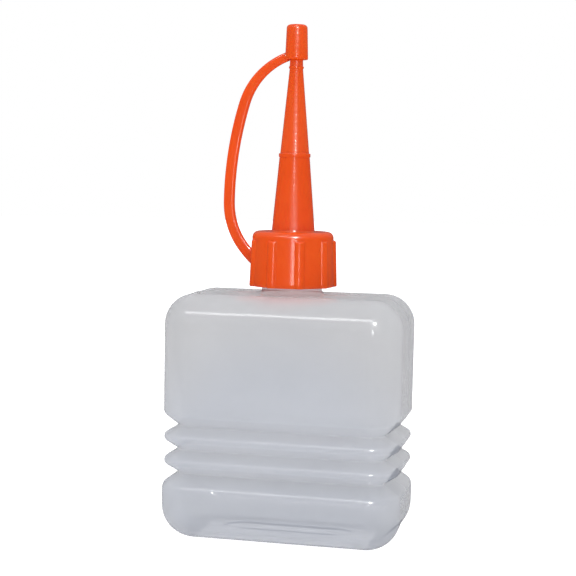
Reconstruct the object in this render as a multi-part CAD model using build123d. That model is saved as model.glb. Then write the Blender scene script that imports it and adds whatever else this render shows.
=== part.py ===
from build123d import *
import math
import os

# Glue applicator bottle: a flat bellows bottle with a screw-on spout and a captive tip cap.
# Millimetres. +Z is up, X runs along the wide front, and the front faces -Y.
# The origin is at the centre of the foot, on the surface that the bottle stands on.

# Bottle, outside sizes
BODY_WIDTH = 79.6
BODY_DEPTH = 45.6
SHOULDER_Z = 81.7
WALL = 1.2
PLAN_RADIUS = 10.2
EDGE_RADIUS = 10.0
BASE_FLARE = 0.4

# Foot
FOOT_POCKET_LENGTH = 46.0
FOOT_POCKET_WIDTH = 17.0
FOOT_POCKET_RADIUS = 7.0
FOOT_POCKET_DEPTH = 1.0
PINCH_LENGTH = 34.0
PINCH_WIDTH = 0.9
PINCH_HEIGHT = 0.5

# Bellows: heights of its two joins, corners, grooves and ridges
BASE_JOIN_Z = 15.0
BASE_CORNER_Z = 18.3
GROOVE_Z = (22.2, 30.0, 37.9)
RIDGE_Z = (26.2, 34.2)
BODY_CORNER_Z = 42.0
BODY_JOIN_Z = 45.0
GROOVE_DEPTH = 5.2
RIDGE_RADIUS = 1.6
GROOVE_RADIUS = 0.4
BASE_CORNER_RADIUS = 3.0
BODY_CORNER_RADIUS = 2.4

# Neck and its thread
NECK_TOP_Z = 99.3
NECK_BORE_RADIUS = 8.6
NECK_RADIUS = 10.4
NECK_WAIST_RADIUS = 10.0
NECK_WAIST_TOP_Z = 85.4
NECK_FLARE_RADIUS = 1.8
NECK_FLARE_BEND = 0.3
THREAD_PITCH = 4.0
THREAD_TURNS = 2.0
THREAD_START_Z = 87.0
THREAD_ROOT_WIDTH = 2.0
THREAD_CREST_WIDTH = 1.0
NECK_THREAD_CREST_RADIUS = 11.9
THREAD_BURY = 0.2

# Ring liner under the cap's top plate
LINER_THICKNESS = 1.0
LINER_RADIUS = 12.0

# Screw cap
CAP_BOTTOM_Z = 84.4
CAP_TOP_Z = 102.6
CAP_BORE_RADIUS = 12.3
CAP_THREAD_CREST_RADIUS = 10.95
CAP_THREAD_TURNS = 1.75
CAP_THREAD_START_ANGLE = 90.0
SKIRT_BOTTOM_RADIUS = 14.15
SKIRT_TOP_RADIUS = 13.55
CAP_SHOULDER_RADIUS = 2.0
RIB_COUNT = 9
RIB_TOP_Z = 99.8
RIB_WIDTH = 3.5
RIB_CREST_BOTTOM_RADIUS = 14.95
RIB_CREST_TOP_RADIUS = 14.35
RIB_CORNER_RADIUS = 0.4
FIRST_RIB_ANGLE = 12.1

# Nozzle: two cones with the cutting ring between them, and a bead near the tip
NOZZLE_BASE_RADIUS = 7.17
NOZZLE_BORE_RADIUS = 5.9
RING_BOTTOM_Z = 127.2
RING_TOP_Z = 128.5
RING_RADIUS = 5.25
LOWER_CONE_TOP_RADIUS = 5.02
UPPER_CONE_BASE_RADIUS = 4.8
BEAD_Z = 156.7
BEAD_HEIGHT = 0.9
BEAD_RADIUS = 2.45
UPPER_CONE_TOP_RADIUS = 2.22
TIP_TOP_Z = 168.0
TIP_RADIUS = 1.85
TIP_HOLE_RADIUS = 0.8
RING_BORE_RADIUS = 3.7
BEAD_BORE_RADIUS = 1.1

# Tip cap
TIP_CAP_BOTTOM_Z = 159.3
TIP_CAP_TOP_Z = 170.7
TIP_CAP_BOTTOM_RADIUS = 3.8
TIP_CAP_TOP_RADIUS = 3.42
TIP_CAP_EDGE_RADIUS = 1.2
TIP_CAP_MOUTH_RADIUS = 2.4
TIP_CAP_MOUTH_CHAMFER = 0.4
TIP_CAP_END_RADIUS = 2.1
TIP_CAP_ROOF = 1.5
SEAL_PIN_RADIUS = 0.55
SEAL_PIN_LENGTH = 1.8

# Tip strap: a flat band in the XZ plane, in three arcs that meet at a tangent
STRAP_WIDTH = 3.7
STRAP_THICKNESS = 2.0
STRAP_ROOT = (-13.0, 92.9)
STRAP_BULGE = (-22.2, 111.8)
STRAP_UPPER = (-17.4, 144.9)
STRAP_TIP = (-2.9, 160.3)
STRAP_ROOT_FACE_X = -15.4
STRAP_TIP_FACE_X = -4.4

# Cutting blocks are larger than the whole bottle, and no inside corner is sharper than this
BLOCK = 400.0
SHARPEST_INSIDE = 0.3


def above(z):
    """A block that holds everything above height z."""
    return Pos(0, 0, z + BLOCK / 2) * Box(BLOCK, BLOCK, BLOCK)


def below(z):
    """A block that holds everything below height z."""
    return Pos(0, 0, z - BLOCK / 2) * Box(BLOCK, BLOCK, BLOCK)


def beyond_x(x):
    """A block that holds everything to the left of x."""
    return Pos(x - BLOCK / 2, 0, 0) * Box(BLOCK, BLOCK, BLOCK)


def revolved(*points):
    """A turned solid from its half profile, given as (radius, height) points."""
    profile = Plane.XZ * make_face(Polyline(*points, close=True))
    return revolve(profile, Axis.Z)


def bottle_block(inset, flare=0.0):
    """The bottle as a solid block, moved in by inset on every side and out by flare at the sides."""
    width = BODY_WIDTH + 2 * (flare - inset)
    depth = BODY_DEPTH + 2 * (flare - inset)
    height = SHOULDER_Z - 2 * inset
    block = Pos(0, 0, SHOULDER_Z / 2) * Box(width, depth, height)
    block = fillet(block.edges().filter_by(Axis.Z), PLAN_RADIUS + flare - inset)
    rims = block.edges().group_by(Axis.Z)
    return fillet(rims[0] + rims[-1], EDGE_RADIUS - inset)


def foot_pocket(extra):
    """The shallow pocket that leaves the foot standing on its rim, larger by extra all round."""
    plan = RectangleRounded(
        FOOT_POCKET_LENGTH + 2 * extra,
        FOOT_POCKET_WIDTH + 2 * extra,
        FOOT_POCKET_RADIUS + extra,
    )
    return extrude(plan, amount=FOOT_POCKET_DEPTH + extra)


def bottle_base():
    """The lowest, stiff part of the bottle, a tray with a raised floor and the mould's pinch line."""
    outer = bottle_block(0, BASE_FLARE) - above(BASE_JOIN_Z)
    tray = outer - bottle_block(WALL, BASE_FLARE)
    tray += foot_pocket(WALL)
    tray -= foot_pocket(0)
    pinch_z = FOOT_POCKET_DEPTH - PINCH_HEIGHT / 2
    return tray + Pos(0, 0, pinch_z) * Box(PINCH_LENGTH, PINCH_WIDTH, PINCH_HEIGHT)


def shifted(points, distance):
    """A polyline moved sideways by distance, to its left, with mitred corners."""
    normals = []
    for start, end in zip(points, points[1:]):
        run = math.hypot(end[0] - start[0], end[1] - start[1])
        normals.append(((start[1] - end[1]) / run, (end[0] - start[0]) / run))
    moved = []
    for i, point in enumerate(points):
        before = normals[max(i - 1, 0)]
        after = normals[min(i, len(normals) - 1)]
        share = distance / (1 + before[0] * after[0] + before[1] * after[1])
        moved.append(
            (
                point[0] + share * (before[0] + after[0]),
                point[1] + share * (before[1] + after[1]),
            )
        )
    return moved


def bellows_outline():
    """The bellows' outside, from the base up, as (outward distance from the corner centre, height)."""
    face = PLAN_RADIUS
    flare = face + BASE_FLARE
    groove = face - GROOVE_DEPTH
    half_angle = math.atan2((GROOVE_Z[1] - GROOVE_Z[0]) / 2, GROOVE_DEPTH)
    ridge = face + RIDGE_RADIUS * (1 / math.sin(half_angle) - 1)
    points = [(flare, BASE_JOIN_Z), (flare, BASE_CORNER_Z), (groove, GROOVE_Z[0])]
    radii = [BASE_CORNER_RADIUS, GROOVE_RADIUS]
    for ridge_z, groove_z in zip(RIDGE_Z, GROOVE_Z[1:]):
        points += [(ridge, ridge_z), (groove, groove_z)]
        radii += [RIDGE_RADIUS, GROOVE_RADIUS]
    points += [(face, BODY_CORNER_Z), (face, BODY_JOIN_Z)]
    radii += [BODY_CORNER_RADIUS]
    return points, radii


def bellows():
    """The folded wall between base and body: its section runs round the bottle's rounded plan."""
    points, radii = bellows_outline()
    inside = shifted(points, WALL)
    inside[0] = (inside[0][0], BASE_JOIN_Z)
    inside[-1] = (inside[-1][0], BODY_JOIN_Z)
    inner_radii = [max(radius - WALL, SHARPEST_INSIDE) for radius in radii]
    inner_radii[1::2] = [GROOVE_RADIUS + WALL] * len(GROOVE_Z)
    outline = FilletPolyline(
        *(points + inside[::-1]),
        radius=[0] + radii + [0, 0] + inner_radii[::-1] + [0],
        close=True,
    )
    section = make_face(outline)
    half_x = BODY_WIDTH / 2 - PLAN_RADIUS
    half_y = BODY_DEPTH / 2 - PLAN_RADIUS
    ring = None
    quarters = ((half_x, half_y), (half_y, half_x), (half_x, half_y), (half_y, half_x))
    for quarter, (out, along) in enumerate(quarters):
        turn = Rot(0, 0, 90 * quarter)
        corner = revolve(Plane.XZ * section, Axis.Z, 90)
        side = extrude(Pos(0, along, 0) * (Plane.XZ * section), amount=2 * along)
        piece = turn * Pos(out, along, 0) * corner + turn * Pos(out, 0, 0) * side
        ring = piece if ring is None else ring + piece
    return ring


def helical_thread(radius, crest_radius, turns, start_z):
    """A trapezium thread on a cylinder of that radius, standing out or in to its crest."""
    outward = 1 if crest_radius > radius else -1
    root = radius - outward * THREAD_BURY
    helix = Helix(THREAD_PITCH, THREAD_PITCH * turns, radius)
    profile = Plane.XZ * make_face(
        Polyline(
            (root, -THREAD_ROOT_WIDTH / 2),
            (crest_radius, -THREAD_CREST_WIDTH / 2),
            (crest_radius, THREAD_CREST_WIDTH / 2),
            (root, THREAD_ROOT_WIDTH / 2),
            close=True,
        )
    )
    return Pos(0, 0, start_z) * sweep(profile, path=helix, is_frenet=True)


def neck():
    """The turned neck, with its flare into the shoulder and its external thread."""
    floor_z = SHOULDER_Z - WALL
    bend = NECK_FLARE_BEND * NECK_FLARE_RADIUS
    tube = revolved(
        (NECK_BORE_RADIUS, floor_z),
        (NECK_WAIST_RADIUS + NECK_FLARE_RADIUS, floor_z),
        (NECK_WAIST_RADIUS + NECK_FLARE_RADIUS, SHOULDER_Z),
        (NECK_WAIST_RADIUS + bend, SHOULDER_Z + bend),
        (NECK_WAIST_RADIUS, SHOULDER_Z + NECK_FLARE_RADIUS),
        (NECK_WAIST_RADIUS, NECK_WAIST_TOP_Z - NECK_RADIUS + NECK_WAIST_RADIUS),
        (NECK_RADIUS, NECK_WAIST_TOP_Z),
        (NECK_RADIUS, NECK_TOP_Z),
        (NECK_BORE_RADIUS, NECK_TOP_Z),
    )
    thread = helical_thread(NECK_RADIUS, NECK_THREAD_CREST_RADIUS, THREAD_TURNS, THREAD_START_Z)
    return tube + thread


def bottle_body():
    """The upper shell: walls, rolled shoulders and the neck."""
    shell = bottle_block(0) & above(BODY_JOIN_Z)
    shell -= bottle_block(WALL)
    opening = Cylinder(NECK_BORE_RADIUS, BLOCK) & above(BODY_JOIN_Z)
    return shell - opening + neck()


def cap_liner():
    """The soft ring that the cap presses on the neck's rim."""
    top_z = NECK_TOP_Z + LINER_THICKNESS
    return revolved(
        (NECK_BORE_RADIUS, NECK_TOP_Z),
        (LINER_RADIUS, NECK_TOP_Z),
        (LINER_RADIUS, top_z),
        (NECK_BORE_RADIUS, top_z),
    )


def strap_band():
    """The whole band of the tip strap, from inside the cap's skirt to inside the tip cap's wall."""
    lower = TangentArc(STRAP_BULGE, STRAP_ROOT, tangent=(0, -1))
    middle = TangentArc(STRAP_BULGE, STRAP_UPPER, tangent=(0, 1))
    upper = TangentArc(STRAP_UPPER, STRAP_TIP, tangent=middle % 1)
    faces = [trace(arc, STRAP_WIDTH) for arc in (lower, middle, upper)]
    band = None
    for face in faces:
        piece = extrude(Plane.XZ * face, amount=STRAP_THICKNESS / 2, both=True)
        band = piece if band is None else band + piece
    return band


def cap_shell():
    """The cap without its ribs: a tapered skirt, a rounded shoulder and a top plate with a hole."""
    roof_z = NECK_TOP_Z + LINER_THICKNESS
    outline = FilletPolyline(
        (NOZZLE_BORE_RADIUS, roof_z),
        (CAP_BORE_RADIUS, roof_z),
        (CAP_BORE_RADIUS, CAP_BOTTOM_Z),
        (SKIRT_BOTTOM_RADIUS, CAP_BOTTOM_Z),
        (SKIRT_TOP_RADIUS, RIB_TOP_Z),
        (SKIRT_TOP_RADIUS, CAP_TOP_Z),
        (NOZZLE_BORE_RADIUS, CAP_TOP_Z),
        radius=[0, 0, 0, 0, 0, CAP_SHOULDER_RADIUS, 0],
        close=True,
    )
    return revolve(Plane.XZ * make_face(outline), Axis.Z)


def cap_rib():
    """One grip rib, on the +X side: an upright bar with a rounded top, on the skirt's taper."""
    bar_height = RIB_TOP_Z - CAP_BOTTOM_Z
    front = Rectangle(RIB_WIDTH, bar_height)
    front = fillet(front.vertices().group_by(Axis.Y)[-1], RIB_CORNER_RADIUS)
    middle_z = (RIB_TOP_Z + CAP_BOTTOM_Z) / 2
    start = (CAP_BORE_RADIUS + SKIRT_TOP_RADIUS) / 2
    past_crest = 2 * RIB_CREST_BOTTOM_RADIUS
    bar = extrude(Pos(start, 0, middle_z) * (Plane.YZ * front), amount=past_crest)
    taper = revolved(
        (0, CAP_BOTTOM_Z),
        (RIB_CREST_BOTTOM_RADIUS, CAP_BOTTOM_Z),
        (RIB_CREST_TOP_RADIUS, RIB_TOP_Z),
        (0, RIB_TOP_Z),
    )
    return bar & taper


def screw_cap():
    """The turned cap, its nine grip ribs, its internal thread and the root of the tip strap."""
    cap = cap_shell()
    rib = cap_rib()
    for i in range(RIB_COUNT):
        cap += Rot(0, 0, FIRST_RIB_ANGLE + i * 360 / RIB_COUNT) * rib
    lead = CAP_THREAD_START_ANGLE / 360 * THREAD_PITCH
    start_z = THREAD_START_Z - THREAD_PITCH / 2 + lead
    thread = helical_thread(CAP_BORE_RADIUS, CAP_THREAD_CREST_RADIUS, CAP_THREAD_TURNS, start_z)
    cap += Rot(0, 0, CAP_THREAD_START_ANGLE) * thread
    root = strap_band() - beyond_x(STRAP_ROOT_FACE_X) & below(RING_BOTTOM_Z)
    root -= Cylinder((CAP_BORE_RADIUS + SKIRT_TOP_RADIUS) / 2, BLOCK)
    return cap + root


def nozzle():
    """The spout: two slim cones with a cutting ring between them and a bead under the tip cap."""
    return revolved(
        (NOZZLE_BORE_RADIUS, CAP_TOP_Z),
        (NOZZLE_BASE_RADIUS, CAP_TOP_Z),
        (LOWER_CONE_TOP_RADIUS, RING_BOTTOM_Z),
        (RING_RADIUS, RING_BOTTOM_Z),
        (RING_RADIUS, RING_TOP_Z),
        (UPPER_CONE_BASE_RADIUS, RING_TOP_Z),
        (UPPER_CONE_TOP_RADIUS, BEAD_Z - BEAD_HEIGHT / 2),
        (BEAD_RADIUS, BEAD_Z - BEAD_HEIGHT / 4),
        (BEAD_RADIUS, BEAD_Z + BEAD_HEIGHT / 4),
        (UPPER_CONE_TOP_RADIUS, BEAD_Z + BEAD_HEIGHT / 2),
        (TIP_RADIUS, TIP_TOP_Z),
        (TIP_HOLE_RADIUS, TIP_TOP_Z),
        (BEAD_BORE_RADIUS, BEAD_Z),
        (RING_BORE_RADIUS, RING_TOP_Z),
    )


def tip_strap():
    """The free length of the strap, between its root on the cap and its root on the tip cap."""
    free = strap_band() & beyond_x(STRAP_ROOT_FACE_X) + above(RING_TOP_Z)
    return free & beyond_x(STRAP_TIP_FACE_X)


def tip_cap():
    """The little closed cap on the nozzle's tip, with its seal pin and the strap's end."""
    outline = FilletPolyline(
        (0, TIP_CAP_BOTTOM_Z),
        (TIP_CAP_BOTTOM_RADIUS, TIP_CAP_BOTTOM_Z),
        (TIP_CAP_TOP_RADIUS, TIP_CAP_TOP_Z),
        (0, TIP_CAP_TOP_Z),
        radius=[0, 0, TIP_CAP_EDGE_RADIUS, 0],
        close=True,
    )
    cap = revolve(Plane.XZ * make_face(outline), Axis.Z)
    end = strap_band() & above(RING_TOP_Z)
    end -= beyond_x(STRAP_TIP_FACE_X)
    cap += end
    roof_z = TIP_CAP_TOP_Z - TIP_CAP_ROOF
    cap -= revolved(
        (0, RING_TOP_Z),
        (TIP_CAP_MOUTH_RADIUS + TIP_CAP_MOUTH_CHAMFER, RING_TOP_Z),
        (TIP_CAP_MOUTH_RADIUS + TIP_CAP_MOUTH_CHAMFER, TIP_CAP_BOTTOM_Z),
        (TIP_CAP_MOUTH_RADIUS, TIP_CAP_BOTTOM_Z + TIP_CAP_MOUTH_CHAMFER),
        (TIP_CAP_END_RADIUS, roof_z),
        (0, roof_z),
    )
    pin_z = roof_z - SEAL_PIN_LENGTH / 2
    return cap + Pos(0, 0, pin_z) * Cylinder(SEAL_PIN_RADIUS, SEAL_PIN_LENGTH)


PIECES = {
    "bottle_base": bottle_base,
    "bellows": bellows,
    "bottle_body": bottle_body,
    "cap_liner": cap_liner,
    "screw_cap": screw_cap,
    "nozzle": nozzle,
    "tip_strap": tip_strap,
    "tip_cap": tip_cap,
}

os.makedirs("parts", exist_ok=True)
for name, make in PIECES.items():
    export_step(Compound(children=make().solids()), f"parts/{name}.step")
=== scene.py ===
import math
import bmesh
import bpy
import numpy as np
from mathutils import Matrix, Vector


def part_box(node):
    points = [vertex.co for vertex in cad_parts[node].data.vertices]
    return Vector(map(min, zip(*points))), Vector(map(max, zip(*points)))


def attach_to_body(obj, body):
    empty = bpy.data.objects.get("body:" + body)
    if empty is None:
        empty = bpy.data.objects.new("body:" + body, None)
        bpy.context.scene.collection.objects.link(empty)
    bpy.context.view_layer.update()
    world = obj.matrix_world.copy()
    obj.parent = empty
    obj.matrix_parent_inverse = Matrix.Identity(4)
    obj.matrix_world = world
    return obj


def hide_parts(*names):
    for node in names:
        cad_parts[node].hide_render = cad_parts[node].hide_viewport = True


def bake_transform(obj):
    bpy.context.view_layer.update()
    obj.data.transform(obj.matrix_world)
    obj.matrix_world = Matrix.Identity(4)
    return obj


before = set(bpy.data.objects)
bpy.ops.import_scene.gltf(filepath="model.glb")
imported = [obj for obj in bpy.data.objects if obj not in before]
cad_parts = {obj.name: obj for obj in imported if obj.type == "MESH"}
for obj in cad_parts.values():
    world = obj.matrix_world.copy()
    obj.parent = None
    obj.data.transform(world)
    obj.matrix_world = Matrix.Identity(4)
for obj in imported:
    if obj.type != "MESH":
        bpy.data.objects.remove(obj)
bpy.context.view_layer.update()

# Every size below is in millimetres, in the frame of the CAD model.
MM = 0.001


def box_mm(node):
    """The lowest and highest corners of a CAD node."""
    low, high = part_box(node)
    return Vector(low) / MM, Vector(high) / MM


BASE_HIGH = box_mm("bottle_base")[1]
BELLOWS_HIGH = box_mm("bellows")[1]
BODY_HIGH = box_mm("bottle_body")[1]
LINER_HIGH = box_mm("cap_liner")[1]
CAP_LOW, CAP_HIGH = box_mm("screw_cap")
NOZZLE_LOW, NOZZLE_HIGH = box_mm("nozzle")
TIP_HIGH = box_mm("tip_cap")[1]

# Bottle
HALF_WIDTH = BODY_HIGH.x
HALF_DEPTH = BODY_HIGH.y
FLARE = BASE_HIGH.x - BODY_HIGH.x
SHOULDER_Z = 81.7
WALL = 1.2
PLAN_RADIUS = 10.2
EDGE_RADIUS = 10.0
FOOT_RADIUS = 11.2
POCKET_DEPTH = 1.0
PINCH_HEIGHT = 0.5

# Level outlines of the bottle, as (half length, half depth, corner radius)
PLATEAU_OUTLINE = (29.8, 12.8, 0.3)
FOOT_OUTLINE = (29.0, 12.0, 0.6)
POCKET_OUTLINE = (23.0, 8.5, 7.0)
FLOOR_OUTLINE = (12.0, 0.4, 0.4)

# The pinch line's flank, as (half length, half depth, corner radius, share of its height)
PINCH_FLANK = ((16.7, 0.1, 0.1, 1.0), (17.0, 0.36, 0.36, 0.85), (17.1, 0.54, 0.54, 0.3))
PINCH_FLANK += ((17.3, 0.8, 0.6, 0.0), (18.0, 1.4, 1.4, 0.0))

# The pocket's wall, as (growth of its outline, share of its depth)
POCKET_WALL = ((-2.0, 1.0), (-1.0, 1.0), (-0.6, 0.9), (-0.3, 0.6), (0.0, 0.2), (0.4, 0.0), (1.2, 0.0))

# Bellows
BASE_CORNER_Z = 18.3
GROOVE_Z = (22.2, 30.0, 37.9)
RIDGE_Z = (26.2, 34.2)
BODY_CORNER_Z = 42.0
GROOVE_DEPTH = 5.2
RIDGE_REACH = 1.2
RIDGE_RADIUS = 1.6
GROOVE_RADIUS = 0.5
BASE_CORNER_RADIUS = 3.0
BODY_CORNER_RADIUS = 2.4

# Neck and threads
NECK_RADIUS = 10.4
NECK_WAIST_RADIUS = 10.0
NECK_WAIST_TOP_Z = 85.2
NECK_FLARE = 1.8
NECK_BORE_RADIUS = 8.6
LINER_GAP = 0.03
# The rim's rounded edge, as (distance in from the neck's outside, depth under the rim)
RIM_EDGE = ((0, 0.6), (0, 0.4), (0.12, 0.12), (0.4, 0), (1.4, 0), (1.68, 0.12), (1.8, 0.4))
# A thread rises to its full height over one lap divided by this
RUN_OUT = 12
THREAD_STEP = 0.25
THREAD_PITCH = 4.0
THREAD_START_Z = 87.0
THREAD_ROOT_WIDTH = 2.0
THREAD_CREST_WIDTH = 1.0
NECK_THREAD_TURNS = 2.0
NECK_THREAD_DEPTH = 1.5
CAP_THREAD_TURNS = 1.75
CAP_THREAD_DEPTH = 1.35
CAP_THREAD_ANGLE = 90.0

# Surface of the blown wall
SEAM_HEIGHT = 0.13
SEAM_WIDTH = 0.22
PANEL_SINK = 0.35
PANEL_TOP_Z = SHOULDER_Z - 14.0
PANEL_FADE = 8.0
DENT_DEPTH = 1.5
DENT_HALF_LENGTH = 5.0
WAVE_HEIGHT = 0.05

# Stations round the bottle, for a quarter of its plan
SIDE_STEPS = 14
CORNER_STEPS = 20
FRONT_STEPS = 12
SIDE_CLUSTERING = 5.0

# Screw cap
SKIRT_RADII = (14.15, 13.55)
CAP_BORE_RADIUS = 12.3
CAP_SHOULDER_RADIUS = 2.0
CAP_ROOF_Z = LINER_HIGH.z
BORE_STEP = 0.28
BORE_STEPS = 48
RIB_COUNT = 9
RIB_TOP_Z = 99.8
RIB_HALF_WIDTH = 1.75
RIB_HEIGHT = 0.8
RIB_TOP_EDGE = 0.55
# Places across a rib, as shares of half its width, and places beyond it, in millimetres from its middle
RIB_SHARES = (0.0, 0.17, 0.34, 0.5, 0.65, 0.79, 0.9, 0.97, 1.0, 1.05)
BETWEEN_RIBS = (2.2, 2.9, 3.6, 4.3)
# Distances of the skirt's rings under the ribs' tops
RIB_DROPS = (14.0, 11.0, 7.0, 3.5, 2.0, 1.2, 0.7, 0.5, 0.38, 0.28, 0.2, 0.13, 0.07, 0.03, 0.0, -0.1)
FIRST_RIB_ANGLE = 12.1

# Nozzle
NOZZLE_BASE_RADIUS = 7.17
NOZZLE_BORE_RADIUS = 5.9
RING_Z = (127.2, 128.5)
RING_RADIUS = 5.25
CONE_RADII = (5.02, 4.8, 2.22, 1.85)
BEAD_Z = 156.7
BEAD_HEIGHT = 0.9
BEAD_RADIUS = 2.45
TIP_HOLE_RADIUS = 0.8
BEAD_BORE_RADIUS = 1.1
RING_BORE_RADIUS = 3.7

# Tip cap and strap
TIP_CAP_BOTTOM_Z = 159.3
TIP_CAP_RADII = (3.8, 3.42)
TIP_MOUTH_RADIUS = 2.4
TIP_ROOF = 1.5
TIP_EDGE_RADIUS = 1.2
PIN_RADIUS = 0.55
PIN_LENGTH = 1.8
AXIS_RADIUS = 0.05
STRAP_ROOT = Vector((-13.0, 92.9))
STRAP_BULGE = Vector((-22.2, 111.8))
STRAP_UPPER = Vector((-17.4, 144.9))
STRAP_TIP = Vector((-2.9, 160.3))
STRAP_HALF_WIDTH = 1.85
STRAP_TIP_HALF_WIDTH = 1.5
STRAP_HALF_THICKNESS = 1.0
STRAP_SECTION = 20
STRAP_SQUARENESS = 0.6

# Colours, in linear light
MILK = ((0.40, 0.40, 0.415), (0.435, 0.435, 0.445))
PAINTED_SEE_THROUGH_BLUE = (0.365, 0.395, 0.465)
PAINTED_CAP_GLOW = (0.62, 0.19, 0.18)
ORANGE = ((0.86, 0.078, 0.003), (0.93, 0.098, 0.006))
FOAM = ((0.78, 0.78, 0.75), (0.9, 0.9, 0.88))
# Painted light in the wall's colour: a painted orange glow round the neck, standing in for the cap's light
# coming through the milky wall, and a painted bluer cast low in the front, standing in for light scattered
# through the wall. Each fades between two distances.
PAINTED_CAP_GLOW_CENTRE = Vector((0.0, 0.0, 88.0))
PAINTED_CAP_GLOW_REACH = (9.0, 26.0)
PAINTED_SEE_THROUGH_CENTRE = Vector((0.0, -27.0, 20.0))
PAINTED_SEE_THROUGH_REACH = (30.0, 62.0)


def smooth(x):
    """0 to 1 with level ends."""
    x = np.clip(x, 0.0, 1.0)
    return x * x * (3 - 2 * x)


def mix(a, b, share):
    return a + (b - a) * share


def arc_through(start, centre, end, steps):
    """Points on the shorter arc from start to end about centre, both ends included."""
    a, b = start - centre, end - centre
    turn = math.atan2(a.x * b.y - a.y * b.x, a.dot(b))
    points = []
    for i in range(steps + 1):
        c, s = math.cos(turn * i / steps), math.sin(turn * i / steps)
        points.append(centre + Vector((a.x * c - a.y * s, a.x * s + a.y * c)))
    return points


def rounded(corners, steps=5):
    """A line through (x, y, radius) corners, with an arc of that radius at each corner but the end ones."""
    flat = [Vector(corner[:2]) for corner in corners]
    path = [flat[0]]
    for before, here, after, corner in zip(flat, flat[1:], flat[2:], corners[1:]):
        if corner[2] == 0:
            path.append(here)
            continue
        a, b = (before - here).normalized(), (after - here).normalized()
        half = a.angle(b) / 2
        reach = corner[2] / math.tan(half)
        centre = here + (a + b).normalized() * corner[2] / math.sin(half)
        path += arc_through(here + a * reach, centre, here + b * reach, steps)
    return path + [flat[-1]]


def add_mesh(name, rows, caps=(), closed=False):
    """A smooth mesh of rings with equal numbers of points. caps zips an end ring shut along Y = 0."""
    points = np.concatenate(rows) * MM
    count = len(rows[0])
    faces = []
    pairs = list(zip(range(len(rows)), range(1, len(rows))))
    if closed:
        pairs.append((len(rows) - 1, 0))
    for low, high in pairs:
        for i in range(count):
            j = (i + 1) % count
            faces.append((low * count + i, low * count + j, high * count + j, high * count + i))
    for ring in caps:
        for i in range(count // 2):
            quad = dict.fromkeys((i, i + 1, (count - i - 1) % count, (count - i) % count))
            faces.append([ring * count + k for k in quad])
    mesh = bpy.data.meshes.new(name)
    mesh.from_pydata(points.tolist(), [], faces)
    shape = bmesh.new()
    shape.from_mesh(mesh)
    bmesh.ops.recalc_face_normals(shape, faces=shape.faces)
    shape.to_mesh(mesh)
    shape.free()
    mesh.shade_smooth()
    piece = bpy.data.objects.new(name, mesh)
    bpy.context.scene.collection.objects.link(piece)
    return piece


def thread_height(angle, z, start_z, start_angle, turns):
    """How far a right-hand thread stands up at each angle, from 0 to 1, with run-out at both ends."""
    turn = ((angle - math.radians(start_angle)) / math.tau) % 1.0
    height = np.zeros_like(angle)
    flank = (THREAD_ROOT_WIDTH - THREAD_CREST_WIDTH) / 2
    for lap in range(math.ceil(turns)):
        along = turn + lap
        away = np.abs(z - start_z - THREAD_PITCH * along)
        run_out = smooth(along * RUN_OUT) * smooth((turns - along) * RUN_OUT)
        height = np.maximum(height, smooth((THREAD_ROOT_WIDTH / 2 - away) / flank) * run_out)
    return height


# ---------------------------------------------------------------- bottle


class Stations:
    """Places round the bottle, counter-clockwise from the +X side, the same for every ring."""

    def __init__(self):
        side = [
            math.sinh(SIDE_CLUSTERING * i / SIDE_STEPS) / math.sinh(SIDE_CLUSTERING)
            for i in range(SIDE_STEPS + 1)
        ]
        quarter = [(1.0, v, 0.0) for v in side]
        quarter += [(1.0, 1.0, 90.0 * i / CORNER_STEPS) for i in range(1, CORNER_STEPS + 1)]
        quarter += [(1 - i / FRONT_STEPS, 1.0, 90.0) for i in range(1, FRONT_STEPS + 1)]
        self.quarter_steps = len(quarter) - 1
        u, v, turn = np.array(quarter).T
        nx, ny = np.cos(np.radians(turn)), np.sin(np.radians(turn))
        self.u = self.all_round(u, -1, 1)
        self.v = self.all_round(v, 1, -1)
        self.nx = self.all_round(nx, -1, 1)
        self.ny = self.all_round(ny, 1, -1)
        self.frontness = smooth(self.all_round(turn / 90, 1, 1))
        self.angle = math.tau * np.arange(len(self.u)) / len(self.u)

    @staticmethod
    def all_round(values, across_x, across_y):
        """The whole ring of a value given on its first quarter."""
        forth, back = values[:-1], values[::-1][:-1]
        both = across_x * across_y
        return np.concatenate([forth, across_x * back, both * forth, across_y * back])

    def outline(self, half_x, half_y, radius):
        """A rounded rectangle."""
        x = self.u * (half_x - radius) + self.nx * radius
        y = self.v * (half_y - radius) + self.ny * radius
        return x, y

    def circle(self, radius):
        return radius * np.cos(self.angle), radius * np.sin(self.angle)


STATIONS = Stations()


def seam(y):
    """The parting line of the mould, a fine ridge where Y is 0."""
    return SEAM_HEIGHT * np.exp(-((y / SEAM_WIDTH) ** 2))


def unevenness(x, y, z):
    """The slight waves and the sunk panels of a blown wall."""
    waves = np.sin(x / 9 + z / 17 + 1.3) * np.sin(z / 11 - y / 13 + 0.4)
    waves = waves + 0.6 * np.sin(x / 5.3 - y / 7 + 2.1) * np.sin(z / 6.1 + y / 5 + 0.9)
    over_bellows = smooth((z - BELLOWS_HIGH.z) / PANEL_FADE)
    on_panel = over_bellows * smooth((PANEL_TOP_Z - z) / PANEL_FADE)
    across = mix(STATIONS.v**2, STATIONS.u**2, STATIONS.frontness)
    return WAVE_HEIGHT * waves - PANEL_SINK * on_panel * (1 - across)


def foot_dent(y, turn):
    """The hollow that the pinched seam leaves in the middle of each end of the foot's roll."""
    near_seam = np.exp(-((y / DENT_HALF_LENGTH) ** 2)) * (np.abs(STATIONS.nx) > 0.5)
    return DENT_DEPTH * near_seam * math.sin(turn * 2) ** 2


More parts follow.
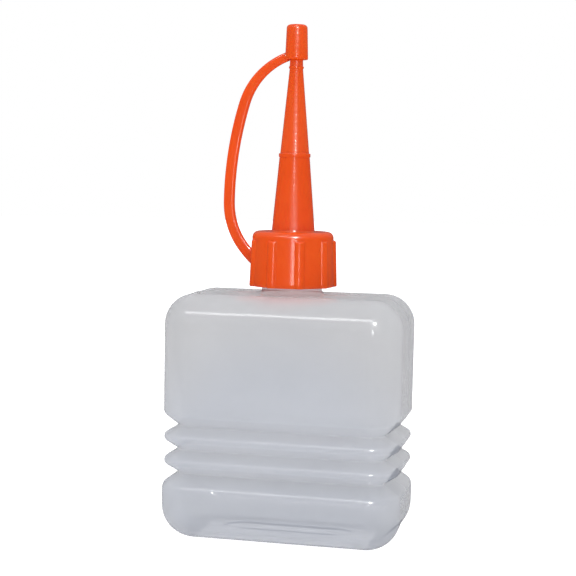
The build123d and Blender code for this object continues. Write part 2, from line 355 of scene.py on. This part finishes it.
def wall_ring(out, z):
    """A ring of the upright wall, moved out by out from the plan of the body."""
    radius = PLAN_RADIUS + out
    x = STATIONS.u * (HALF_WIDTH - PLAN_RADIUS) + STATIONS.nx * radius
    y = STATIONS.v * (HALF_DEPTH - PLAN_RADIUS) + STATIONS.ny * radius
    z = z + 0 * x
    off = unevenness(x, y, z) + seam(y) * (np.abs(STATIONS.nx) > 0.9)
    return np.stack([x + off * STATIONS.nx, y + off * STATIONS.ny, z], axis=1)


def roll_rings(out, inset, radius, outline, z_end, side, steps):
    """Rings of a rolled edge, from the wall to a level outline. side is 1 on top and -1 at the foot."""
    x0 = STATIONS.u * (HALF_WIDTH - PLAN_RADIUS) + STATIONS.nx * (PLAN_RADIUS + out - inset)
    y0 = STATIONS.v * (HALF_DEPTH - PLAN_RADIUS) + STATIONS.ny * (PLAN_RADIUS + out - inset)
    x1, y1 = STATIONS.outline(*outline)
    rings = []
    for i in range(steps + 1):
        turn = math.pi / 2 * i / steps
        share = 1 - math.cos(turn)
        x, y = mix(x0, x1, share), mix(y0, y1, share)
        z = z_end - side * (radius - inset) * (1 - math.sin(turn))
        off = unevenness(x, y, z) * math.cos(turn) + seam(y) * (np.abs(STATIONS.nx) > 0.9)
        if side < 0:
            off = off - foot_dent(y, turn)
        flat = off * math.cos(turn)
        x, y = x + flat * STATIONS.nx, y + flat * STATIONS.ny
        rings.append(np.stack([x, y, z + side * off * math.sin(turn)], axis=1))
    return rings


def level_rings(shares, radius, z):
    """Rings of the level top, at shares of the way from the plateau's outline to the neck's circle."""
    x0, y0 = STATIONS.outline(*PLATEAU_OUTLINE)
    x1, y1 = STATIONS.circle(radius)
    rings = []
    for share in shares:
        x, y = mix(x0, x1, share), mix(y0, y1, share)
        rings.append(np.stack([x, y, z + seam(y)], axis=1))
    return rings


def outline_ring(outline, z):
    x, y = STATIONS.outline(*outline)
    return np.stack([x, y, z + 0 * x], axis=1)


def grown(outline, by):
    return outline[0] + by, outline[1] + by, outline[2] + by


def circle_ring(radius, z):
    """A ring of the neck. radius and z are numbers or one value for each station."""
    x, y = STATIONS.circle(1.0)
    radius = radius + seam(y * NECK_RADIUS) * (np.abs(x) > 0.9)
    return np.stack([x * radius, y * radius, z + 0 * x], axis=1)


def bellows_corners():
    """The folded wall as (outward distance from the body's plan, height, corner radius)."""
    corners = [(FLARE, BASE_HIGH.z, 0), (FLARE, BASE_CORNER_Z, BASE_CORNER_RADIUS)]
    corners.append((-GROOVE_DEPTH, GROOVE_Z[0], GROOVE_RADIUS))
    for ridge_z, groove_z in zip(RIDGE_Z, GROOVE_Z[1:]):
        corners.append((RIDGE_REACH, ridge_z, RIDGE_RADIUS))
        corners.append((-GROOVE_DEPTH, groove_z, GROOVE_RADIUS))
    corners.append((0, BODY_CORNER_Z, BODY_CORNER_RADIUS))
    corners.append((0, BELLOWS_HIGH.z, 0))
    return corners


def bellows_rings():
    """Rings of the folded outside, from the base up."""
    return [wall_ring(point.x, point.y) for point in rounded(bellows_corners())]


def lining_rings():
    """Rings of the inside behind the folds, from the body down: a plain wall, clear of the grooves."""
    heights = [BODY_CORNER_Z - 1, *GROOVE_Z[::-1], BASE_CORNER_Z + 1]
    return [wall_ring(-GROOVE_DEPTH - WALL, z) for z in heights]


def straight_rings(low, high, steps):
    """Rings between two rings, neither of them included."""
    return [mix(low, high, i / steps) for i in range(1, steps)]


def foot_rings():
    """The underside, from the pinch line out to the rim that the bottle stands on."""
    rings = [outline_ring(outline, POCKET_DEPTH - PINCH_HEIGHT * share) for *outline, share in PINCH_FLANK]
    rings += [outline_ring(grown(POCKET_OUTLINE, by), POCKET_DEPTH * share) for by, share in POCKET_WALL]
    return rings + [outline_ring(grown(FOOT_OUTLINE, -1.5), 0.0)]


def neck_rings(top_ring_z):
    """The outside of the neck: flare, waist, thread and rim."""
    rings = []
    flare_steps = 6
    for i in range(1, flare_steps + 1):
        turn = math.pi / 2 * i / flare_steps
        rise = 1 - math.cos(turn)
        z = mix(top_ring_z, SHOULDER_Z, rise) + NECK_FLARE * rise
        rings.append(circle_ring(NECK_WAIST_RADIUS + NECK_FLARE * (1 - math.sin(turn)), z))
    rings.append(circle_ring(NECK_WAIST_RADIUS, NECK_WAIST_TOP_Z - 0.5))
    rings.append(circle_ring(NECK_RADIUS, NECK_WAIST_TOP_Z))
    rim_z = BODY_HIGH.z - LINER_GAP
    for i in range(1, round((rim_z - 1 - NECK_WAIST_TOP_Z) / THREAD_STEP)):
        z = NECK_WAIST_TOP_Z + i * THREAD_STEP
        height = thread_height(STATIONS.angle, z, THREAD_START_Z, 0, NECK_THREAD_TURNS)
        rings.append(circle_ring(NECK_RADIUS + NECK_THREAD_DEPTH * height, z))
    return rings + [circle_ring(NECK_RADIUS - inward, rim_z - down) for inward, down in RIM_EDGE]


def inner_neck_rings():
    """The bore, down to the inside of the shoulder."""
    under = SHOULDER_Z - WALL
    steps = 6
    rings = []
    for i in range(steps + 1):
        rings.append(circle_ring(NECK_BORE_RADIUS, mix(BODY_HIGH.z - 1, under + 1, i / steps)))
    rings.append(circle_ring(NECK_BORE_RADIUS + 0.15, under + 0.4))
    rings.append(circle_ring(NECK_BORE_RADIUS + 0.5, under + 0.1))
    return rings


def outside_rings():
    """The outside of the bottle above its underside, from the foot's roll up to the rim."""
    foot = roll_rings(FLARE, 0, FOOT_RADIUS, FOOT_OUTLINE, 0.0, -1, 14)[::-1]
    folds = bellows_rings()
    top = roll_rings(0, 0, EDGE_RADIUS, PLATEAU_OUTLINE, SHOULDER_Z, 1, 20)
    level = level_rings((0.1, 0.3, 0.6, 0.93, 1.0), NECK_WAIST_RADIUS + NECK_FLARE, SHOULDER_Z)
    rings = foot + straight_rings(foot[-1], folds[0], 3) + folds + straight_rings(folds[-1], top[0], 5)
    return rings + top + level + neck_rings(level[-1][:, 2])


def inside_rings():
    """The inside of the bottle, from the bore down to the floor."""
    ceiling, floor_z = SHOULDER_Z - WALL, WALL + POCKET_DEPTH
    level = level_rings((0.97, 0.6, 0.3, 0.1), NECK_BORE_RADIUS + 0.8, ceiling)
    top = roll_rings(0, WALL, EDGE_RADIUS, PLATEAU_OUTLINE, ceiling, 1, 12)[::-1]
    lining = lining_rings()
    foot = roll_rings(FLARE, WALL, FOOT_RADIUS, FOOT_OUTLINE, WALL, -1, 8)
    rings = inner_neck_rings() + level + top + straight_rings(top[-1], lining[0], 3)
    rings += lining + straight_rings(lining[-1], foot[0], 2) + foot
    rings.append(outline_ring(grown(POCKET_OUTLINE, 2.2), WALL))
    rings.append(outline_ring(grown(POCKET_OUTLINE, 0.9), floor_z))
    rings.append(outline_ring(grown(POCKET_OUTLINE, -3.0), floor_z))
    rings.append(outline_ring(FLOOR_OUTLINE, floor_z))
    return rings


def make_bottle():
    """The blown bottle, one closed shell with an underside, an outside, a rim and an inside."""
    underside, outside, inside = foot_rings(), outside_rings(), inside_rings()
    rows = underside + outside + inside
    bottle = add_mesh("bottle", rows, caps=(0, len(rows) - 1))
    bottle.data.materials.append(wall_material("bottle_wall", 1.8, 0.3, (0.50, 0.58)))
    bottle.data.materials.append(wall_material("bottle_lining", 1.3, 0.0, (0.02, 0.03)))
    bottle.data.materials.append(wall_material("bottle_underside", 1.5, 0.0, (0.32, 0.36)))
    count = len(rows[0])
    rim_row = len(underside) + len(outside) - 1
    for face in bottle.data.polygons:
        row = min(face.vertices) // count
        if row >= rim_row:
            face.material_index = 1
        elif row < len(underside):
            face.material_index = 2
    return bottle


# ---------------------------------------------------------------- closure


def turned(name, profile, count=72):
    """A turned piece from its closed profile of (radius, height) points."""
    angle = math.tau * np.arange(count) / count
    rows = [np.stack([r * np.cos(angle), r * np.sin(angle), z + 0 * angle], axis=1) for r, z in profile]
    return add_mesh(name, rows, closed=True)


def rib_stations():
    """Angles round the cap, closer together on the ribs, and each one's place across its rib."""
    radius = sum(SKIRT_RADII) / 2 + RIB_HEIGHT / 2
    period = math.tau * radius / RIB_COUNT
    half = [RIB_HALF_WIDTH * share for share in RIB_SHARES] + list(BETWEEN_RIBS)
    places = [-x for x in half[:0:-1]] + half + [period / 2]
    angles, across = [], []
    for rib in range(RIB_COUNT):
        middle = math.radians(FIRST_RIB_ANGLE) + math.tau * rib / RIB_COUNT
        angles += [middle + x / radius for x in places]
        across += places
    return np.array(angles), np.array(across)


def rib_height(across, z):
    """How far a rib stands out at one height: an arc across it, with a rounded end on top."""
    radius = (RIB_HALF_WIDTH**2 + RIB_HEIGHT**2) / (2 * RIB_HEIGHT)
    inside = np.clip(np.abs(across), 0, RIB_HALF_WIDTH)
    arc = np.sqrt(radius**2 - inside**2) - (radius - RIB_HEIGHT)
    share = min(max((RIB_TOP_Z - z) / RIB_TOP_EDGE, 0), 1)
    return arc * math.sqrt(1 - (1 - share) ** 2)


def make_screw_cap():
    """The cap: ribbed skirt, rounded shoulder, top plate with its hole, and the threaded bore."""
    angle, across = rib_stations()
    bottom, top = CAP_LOW.z, CAP_HIGH.z
    skirt_low, skirt_high = SKIRT_RADII
    outside = [(skirt_low - 0.35, bottom), (skirt_low - 0.1, bottom + 0.08), (skirt_low, bottom + 0.3)]
    height = RIB_TOP_Z - bottom
    outside += [(mix(skirt_high, skirt_low, max(drop, 0) / height), RIB_TOP_Z - drop) for drop in RIB_DROPS]
    edge = [(skirt_high, RIB_TOP_Z + 0.3, 0), (skirt_high, top, CAP_SHOULDER_RADIUS), (10.5, top, 0)]
    shoulder = [tuple(point) for point in rounded(edge, 9)]
    plate = [(NOZZLE_BASE_RADIUS + 0.5, top), (NOZZLE_BASE_RADIUS, top), (NOZZLE_BORE_RADIUS, top)]
    roof = [(NOZZLE_BORE_RADIUS, CAP_ROOF_Z), (9.0, CAP_ROOF_Z), (11.6, CAP_ROOF_Z)]
    bore = [(CAP_BORE_RADIUS, CAP_ROOF_Z - 0.7)]
    bore += [(CAP_BORE_RADIUS, bottom + 0.6 + BORE_STEP * i) for i in range(BORE_STEPS, -1, -1)]
    mouth = [(CAP_BORE_RADIUS + 0.3, bottom + 0.05), (CAP_BORE_RADIUS + 0.6, bottom)]
    start_z = THREAD_START_Z - THREAD_PITCH / 2 + CAP_THREAD_ANGLE / 360 * THREAD_PITCH
    rows = []
    for r, z in outside + shoulder + plate + roof + bore + mouth:
        radius = r + 0 * angle
        if r > skirt_high - 0.5 and z < RIB_TOP_Z + 0.2:
            radius = radius + rib_height(across, z)
        if r == CAP_BORE_RADIUS:
            ridge = thread_height(angle, z, start_z, CAP_THREAD_ANGLE, CAP_THREAD_TURNS)
            radius = radius - CAP_THREAD_DEPTH * ridge
        rows.append(np.stack([radius * np.cos(angle), radius * np.sin(angle), z + 0 * angle], axis=1))
    return add_mesh("screw_cap_shell", rows, closed=True)


def make_nozzle():
    """The spout: two slim cones with the cutting ring between them and a bead near the tip."""
    low, high = NOZZLE_LOW.z, NOZZLE_HIGH.z
    ring_low, ring_high = RING_Z
    lower_top, upper_base, upper_top, tip = CONE_RADII
    bead_low, bead_high = BEAD_Z - BEAD_HEIGHT / 2, BEAD_Z + BEAD_HEIGHT / 2
    outside = rounded(
        [
            (NOZZLE_BASE_RADIUS + 0.6, low - 0.02, 0),
            (NOZZLE_BASE_RADIUS, low, 0.5),
            (lower_top, ring_low, 0.15),
            (RING_RADIUS, ring_low + 0.1, 0.15),
            (RING_RADIUS, ring_high - 0.15, 0.2),
            (upper_base, ring_high, 0.2),
            (upper_top, bead_low, 0.2),
            (BEAD_RADIUS, BEAD_Z - 0.25, 0.2),
            (BEAD_RADIUS, BEAD_Z + 0.25, 0.2),
            (upper_top, bead_high, 0.2),
            (tip, high, 0.25),
            (TIP_HOLE_RADIUS, high, 0),
        ],
        4,
    )
    bore = [(TIP_HOLE_RADIUS, high - 0.3), (BEAD_BORE_RADIUS, BEAD_Z)]
    bore += [(RING_BORE_RADIUS, ring_high), (NOZZLE_BORE_RADIUS, low)]
    return turned("nozzle_spout", outside + bore, 96)


def make_tip_cap():
    """The little cap on the nozzle's tip, closed on top, with its seal pin inside."""
    low, high = TIP_CAP_BOTTOM_Z, TIP_HIGH.z
    wide, narrow = TIP_CAP_RADII
    roof = high - TIP_ROOF
    edge = [(TIP_MOUTH_RADIUS + 0.4, low, 0), (wide, low, 0.3)]
    edge += [(narrow, high, TIP_EDGE_RADIUS), (AXIS_RADIUS, high, 0)]
    end = roof - PIN_LENGTH
    pin = [(AXIS_RADIUS, end), (PIN_RADIUS - 0.1, end), (PIN_RADIUS, end + 0.2)]
    pin += [(PIN_RADIUS, roof - 0.1), (PIN_RADIUS + 0.1, roof)]
    bore = [(2.1, roof), (TIP_MOUTH_RADIUS, low + 0.5)]
    return turned("tip_cap_shell", rounded(edge, 6) + pin + bore, 64)


def tangent_arc(start, tangent, end, steps):
    """The arc that leaves start along tangent and passes through end, and its direction at its end."""
    side = Vector((-tangent.y, tangent.x))
    chord = end - start
    radius = chord.length_squared / (2 * chord.dot(side))
    centre = start + side * radius
    points = arc_through(start, centre, end, steps)
    last = (end - centre).normalized() * (1 if radius > 0 else -1)
    return points, Vector((-last.y, last.x)) * -1


def strap_line():
    """The strap's centre line in XZ, from the cap's skirt up to the tip cap."""
    lower, _ = tangent_arc(STRAP_BULGE, Vector((0, -1)), STRAP_ROOT, 24)
    middle, heading = tangent_arc(STRAP_BULGE, Vector((0, 1)), STRAP_UPPER, 24)
    if heading.y < 0:
        heading = -heading
    upper, _ = tangent_arc(STRAP_UPPER, heading, STRAP_TIP, 24)
    return lower[::-1] + middle[1:] + upper[1:]


def make_strap():
    """The flat band with rounded edges, wider where it leaves the cap and slimmer at the tip cap."""
    line = strap_line()
    turn = math.tau * np.arange(STRAP_SECTION) / STRAP_SECTION
    flat = np.sign(np.cos(turn)) * np.abs(np.cos(turn)) ** STRAP_SQUARENESS
    thick = np.sign(np.sin(turn)) * np.abs(np.sin(turn)) ** STRAP_SQUARENESS
    rows = []
    for i, point in enumerate(line):
        before, after = line[max(i - 1, 0)], line[min(i + 1, len(line) - 1)]
        run = (after - before).normalized()
        share = i / (len(line) - 1)
        half = mix(STRAP_HALF_WIDTH, STRAP_TIP_HALF_WIDTH, smooth((share - 0.6) / 0.4))
        at_root = smooth(1 - share * 14)
        half = half * (1 + 0.12 * at_root)
        deep = STRAP_HALF_THICKNESS * (1 + 0.15 * at_root)
        x = point.x - run.y * half * flat
        z = point.y + run.x * half * flat
        rows.append(np.stack([x, deep * thick, z], axis=1))
    return add_mesh("strap_band", rows, caps=(0, len(rows) - 1))


# ---------------------------------------------------------------- materials


def new_material(name):
    """An empty node material, with its nodes, links and output."""
    material = bpy.data.materials.new(name)
    material.use_nodes = True
    tree = material.node_tree
    tree.nodes.clear()
    output = tree.nodes.new("ShaderNodeOutputMaterial")
    return material, tree, output


def noise_node(tree, scale, detail=3.0, stretch=(1, 1, 1)):
    """Noise in the object's own space. scale is per metre."""
    place = tree.nodes.new("ShaderNodeTexCoord")
    mapping = tree.nodes.new("ShaderNodeMapping")
    mapping.inputs["Scale"].default_value = stretch
    noise = tree.nodes.new("ShaderNodeTexNoise")
    noise.inputs["Scale"].default_value = scale
    noise.inputs["Detail"].default_value = detail
    tree.links.new(place.outputs["Object"], mapping.inputs["Vector"])
    tree.links.new(mapping.outputs["Vector"], noise.inputs["Vector"])
    return noise


def ramp_node(tree, source, stops):
    """A colour ramp over source, with (position, colour) stops."""
    ramp = tree.nodes.new("ShaderNodeValToRGB")
    elements = ramp.color_ramp.elements
    while len(elements) < len(stops):
        elements.new(0.5)
    for element, (position, colour) in zip(elements, stops):
        element.position = position
        element.color = (*colour, 1)
    tree.links.new(source, ramp.inputs["Fac"])
    return ramp


def range_node(tree, source, low, high):
    """source, from 0 to 1, brought into low to high."""
    scaled = tree.nodes.new("ShaderNodeMapRange")
    scaled.inputs["To Min"].default_value = low
    scaled.inputs["To Max"].default_value = high
    tree.links.new(source, scaled.inputs["Value"])
    return scaled


def tinted(tree, source, other, centre, reach):
    """The linked colour, turned into another near centre, all of it to reach[0] and none past reach[1]."""
    place = tree.nodes.new("ShaderNodeTexCoord")
    away = tree.nodes.new("ShaderNodeVectorMath")
    away.operation = "DISTANCE"
    away.inputs[1].default_value = centre * MM
    tree.links.new(place.outputs["Object"], away.inputs[0])
    share = range_node(tree, away.outputs["Value"], 1.0, 0.0)
    share.interpolation_type = "SMOOTHSTEP"
    share.inputs["From Min"].default_value = reach[0] * MM
    share.inputs["From Max"].default_value = reach[1] * MM
    mixer = tree.nodes.new("ShaderNodeMixRGB")
    mixer.inputs["Color2"].default_value = (*other, 1)
    tree.links.new(share.outputs["Result"], mixer.inputs["Fac"])
    tree.links.new(source, mixer.inputs["Color1"])
    return mixer


def bump_node(tree, height, distance, strength):
    """Bump from height. distance is in metres."""
    bump = tree.nodes.new("ShaderNodeBump")
    bump.inputs["Distance"].default_value = distance
    bump.inputs["Strength"].default_value = strength
    tree.links.new(height, bump.inputs["Height"])
    return bump


def wall_material(name, ior, scatter, density):
    """Natural polyethylene, milky and satin, with painted light in its colour: a bluer cast low on the
    front and an orange glow round the neck. density is the range of the share that isn't clear.
    """
    material, tree, output = new_material(name)
    shader = tree.nodes.new("ShaderNodeBsdfPrincipled")
    clouds = noise_node(tree, 28.0, 3.0)
    milk = ramp_node(tree, clouds.outputs["Fac"], [(0.3, MILK[0]), (0.7, MILK[1])])
    # Painted light: a bluer cast low on the front, standing in for light scattered through the milky wall.
    with_painted_blue = tinted(tree, milk.outputs["Color"], PAINTED_SEE_THROUGH_BLUE, PAINTED_SEE_THROUGH_CENTRE, PAINTED_SEE_THROUGH_REACH)
    # Painted light: an orange glow round the neck, standing in for the cap's light coming through the wall.
    colour = tinted(tree, with_painted_blue.outputs["Color"], PAINTED_CAP_GLOW, PAINTED_CAP_GLOW_CENTRE, PAINTED_CAP_GLOW_REACH)
    tree.links.new(colour.outputs["Color"], shader.inputs["Base Color"])
    rough = range_node(tree, noise_node(tree, 160.0, 4.0).outputs["Fac"], 0.11, 0.17)
    tree.links.new(rough.outputs["Result"], shader.inputs["Roughness"])
    flow = bump_node(tree, noise_node(tree, 90.0, 2.0, (1, 1, 0.3)).outputs["Fac"], 0.0003, 0.15)
    tree.links.new(flow.outputs["Normal"], shader.inputs["Normal"])
    shader.inputs["IOR"].default_value = ior
    shader.inputs["Subsurface Weight"].default_value = scatter
    shader.inputs["Subsurface Radius"].default_value = (1.0, 1.0, 1.1)
    shader.inputs["Subsurface Scale"].default_value = 0.001
    clear = tree.nodes.new("ShaderNodeBsdfTransparent")
    blend = tree.nodes.new("ShaderNodeMixShader")
    alpha = range_node(tree, noise_node(tree, 40.0, 2.0).outputs["Fac"], *density)
    tree.links.new(alpha.outputs["Result"], blend.inputs["Fac"])
    tree.links.new(clear.outputs["BSDF"], blend.inputs[1])
    tree.links.new(shader.outputs["BSDF"], blend.inputs[2])
    tree.links.new(blend.outputs["Shader"], output.inputs["Surface"])
    return material


def closure_material(name, rings):
    """Glossy orange polyethylene. rings is how strongly the mould's turning marks show."""
    material, tree, output = new_material(name)
    shader = tree.nodes.new("ShaderNodeBsdfPrincipled")
    clouds = noise_node(tree, 60.0, 3.0)
    colour = ramp_node(tree, clouds.outputs["Fac"], [(0.3, ORANGE[0]), (0.7, ORANGE[1])])
    tree.links.new(colour.outputs["Color"], shader.inputs["Base Color"])
    rough = range_node(tree, noise_node(tree, 400.0, 3.0).outputs["Fac"], 0.15, 0.22)
    tree.links.new(rough.outputs["Result"], shader.inputs["Roughness"])
    shader.inputs["IOR"].default_value = 1.6
    shader.inputs["Subsurface Weight"].default_value = 0.25
    shader.inputs["Subsurface Radius"].default_value = (1.0, 0.25, 0.05)
    shader.inputs["Subsurface Scale"].default_value = 0.003
    marks = bump_node(tree, noise_node(tree, 350.0, 2.0, (0.25, 0.25, 3)).outputs["Fac"], 0.0001, rings)
    tree.links.new(marks.outputs["Normal"], shader.inputs["Normal"])
    tree.links.new(shader.outputs["BSDF"], output.inputs["Surface"])
    return material


def foam_material():
    """White foamed liner, matt and finely pitted."""
    material, tree, output = new_material("liner_foam")
    shader = tree.nodes.new("ShaderNodeBsdfPrincipled")
    cells = noise_node(tree, 1800.0, 3.0)
    colour = ramp_node(tree, cells.outputs["Fac"], [(0.35, FOAM[0]), (0.65, FOAM[1])])
    tree.links.new(colour.outputs["Color"], shader.inputs["Base Color"])
    shader.inputs["Roughness"].default_value = 0.7
    pits = bump_node(tree, cells.outputs["Fac"], 0.0001, 0.5)
    tree.links.new(pits.outputs["Normal"], shader.inputs["Normal"])
    tree.links.new(shader.outputs["BSDF"], output.inputs["Surface"])
    return material


# ---------------------------------------------------------------- assembly


def attach(piece, body, node, material):
    """Puts a rigid piece on its body, in place of its CAD node."""
    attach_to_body(piece, body)
    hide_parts(node)
    piece.data.materials.append(material)


bottle = make_bottle()
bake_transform(bottle)
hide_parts("bottle_base", "bellows", "bottle_body")

orange = closure_material("closure_orange", 0.15)
turned_orange = closure_material("closure_orange_turned", 0.5)
attach(make_screw_cap(), "cap", "screw_cap", orange)
attach(make_nozzle(), "cap", "nozzle", turned_orange)
attach(make_tip_cap(), "tip", "tip_cap", turned_orange)

strap = make_strap()
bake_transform(strap)
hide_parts("tip_strap")
strap.data.materials.append(orange)

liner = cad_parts["cap_liner"]
liner.data.materials.clear()
liner.data.materials.append(foam_material())

# ---------------------------------------------------------------- stage, camera and light

# Metres and degrees. The floor is a little under the foot, so that the two don't share a plane.
FLOOR_RADIUS = 3.0
FLOOR_Z = -0.0004
CAMERA_PLACE = Vector((0.09858, -0.44834, 0.12222))
CAMERA_AZIMUTH = 12.57
CAMERA_PITCH = 4.81
CAMERA_ROLL = 1.12
CAMERA_LENS = 86.01
LAMP_AIM = Vector((0, 0, 0.09))


def make_floor():
    """A pale round floor that glows enough to stay white, so that only a faint shadow shows."""
    count = 64
    angle = math.tau * np.arange(count) / count
    ring = np.stack([np.cos(angle), np.sin(angle), 0 * angle], axis=1) * FLOOR_RADIUS / MM
    floor = add_mesh("floor", [ring], caps=(0,))
    material, tree, output = new_material("floor_white")
    shader = tree.nodes.new("ShaderNodeBsdfPrincipled")
    shader.inputs["Base Color"].default_value = (0.6, 0.6, 0.6, 1)
    shader.inputs["Roughness"].default_value = 0.9
    shader.inputs["Specular IOR Level"].default_value = 0.0
    shader.inputs["Emission Color"].default_value = (1, 1, 1, 1)
    path = tree.nodes.new("ShaderNodeLightPath")
    glow = range_node(tree, path.outputs["Is Camera Ray"], 0.6, 0.9)
    tree.links.new(glow.outputs["Result"], shader.inputs["Emission Strength"])
    tree.links.new(shader.outputs["BSDF"], output.inputs["Surface"])
    floor.data.materials.append(material)
    floor.location.z = FLOOR_Z
    floor.visible_glossy = False


def make_world():
    """Soft grey surroundings, with a white backdrop behind the object."""
    world = bpy.data.worlds.new("studio")
    bpy.context.scene.world = world
    world.use_nodes = True
    tree = world.node_tree
    tree.nodes.clear()
    output = tree.nodes.new("ShaderNodeOutputWorld")
    path = tree.nodes.new("ShaderNodeLightPath")
    room = tree.nodes.new("ShaderNodeBackground")
    backdrop = tree.nodes.new("ShaderNodeBackground")
    direction = tree.nodes.new("ShaderNodeTexCoord")
    split = tree.nodes.new("ShaderNodeSeparateXYZ")
    tree.links.new(direction.outputs["Generated"], split.inputs["Vector"])
    sky = ramp_node(tree, split.outputs["Z"], [(0.0, (0.16, 0.16, 0.18)), (0.8, (0.75, 0.77, 0.80))])
    tree.links.new(sky.outputs["Color"], room.inputs["Color"])
    strength = range_node(tree, path.outputs["Is Glossy Ray"], 1.2, 0.6)
    tree.links.new(strength.outputs["Result"], room.inputs["Strength"])
    backdrop.inputs["Color"].default_value = (1, 1, 1, 1)
    backdrop.inputs["Strength"].default_value = 1.0
    chooser = tree.nodes.new("ShaderNodeMixShader")
    tree.links.new(path.outputs["Is Camera Ray"], chooser.inputs["Fac"])
    tree.links.new(room.outputs["Background"], chooser.inputs[1])
    tree.links.new(backdrop.outputs["Background"], chooser.inputs[2])
    tree.links.new(chooser.outputs["Shader"], output.inputs["Surface"])


def softbox(name, azimuth, elevation, distance, width, height, power):
    """A rectangular soft light aimed at the object. Azimuth 0 is in front, and positive is to the right."""
    light = bpy.data.lights.new(name, "AREA")
    light.shape = "RECTANGLE"
    light.size = width
    light.size_y = height
    light.energy = power
    lamp = bpy.data.objects.new(name, light)
    a, e = math.radians(azimuth), math.radians(elevation)
    away = Vector((math.sin(a) * math.cos(e), -math.cos(a) * math.cos(e), math.sin(e)))
    lamp.location = LAMP_AIM + away * distance
    lamp.rotation_euler = away.to_track_quat("Z", "Y").to_euler()
    lamp.visible_camera = False
    bpy.context.scene.collection.objects.link(lamp)
    return lamp


def make_lights():
    """Three lamps that only make highlights, and three soft ones that light the object."""
    flash = softbox("flash", CAMERA_AZIMUTH + 7, 31, 0.7, 0.09, 0.09, 4.0)
    streak = softbox("streak", CAMERA_AZIMUTH, 3, 0.7, 0.05, 0.15, 0.3)
    strip = softbox("strip", -14, 44, 0.9, 0.7, 0.12, 1.8)
    flash.visible_diffuse = streak.visible_diffuse = strip.visible_diffuse = False
    softbox("front_fill", 14, 25, 1.4, 1.0, 1.0, 2.2)
    back = softbox("back_glow", 190, 35, 1.2, 1.2, 0.6, 1.6)
    top = softbox("top_fill", 0, 80, 1.2, 1.0, 1.0, 4.8)
    back.visible_glossy = top.visible_glossy = False


def make_camera():
    """The camera at the height, turn and slight tilt from which the object is seen."""
    camera = bpy.data.objects.new("camera", bpy.data.cameras.new("camera"))
    camera.data.lens = CAMERA_LENS
    camera.data.clip_start = 0.01
    turn = Matrix.Rotation(math.radians(CAMERA_AZIMUTH), 4, "Z")
    pitch = Matrix.Rotation(math.radians(90 - CAMERA_PITCH), 4, "X")
    roll = Matrix.Rotation(math.radians(CAMERA_ROLL), 4, "Z")
    camera.matrix_world = Matrix.Translation(CAMERA_PLACE) @ turn @ pitch @ roll
    bpy.context.scene.collection.objects.link(camera)
    bpy.context.scene.camera = camera


make_floor()
make_world()
make_lights()
make_camera()
bpy.context.scene.view_settings.view_transform = "Standard"
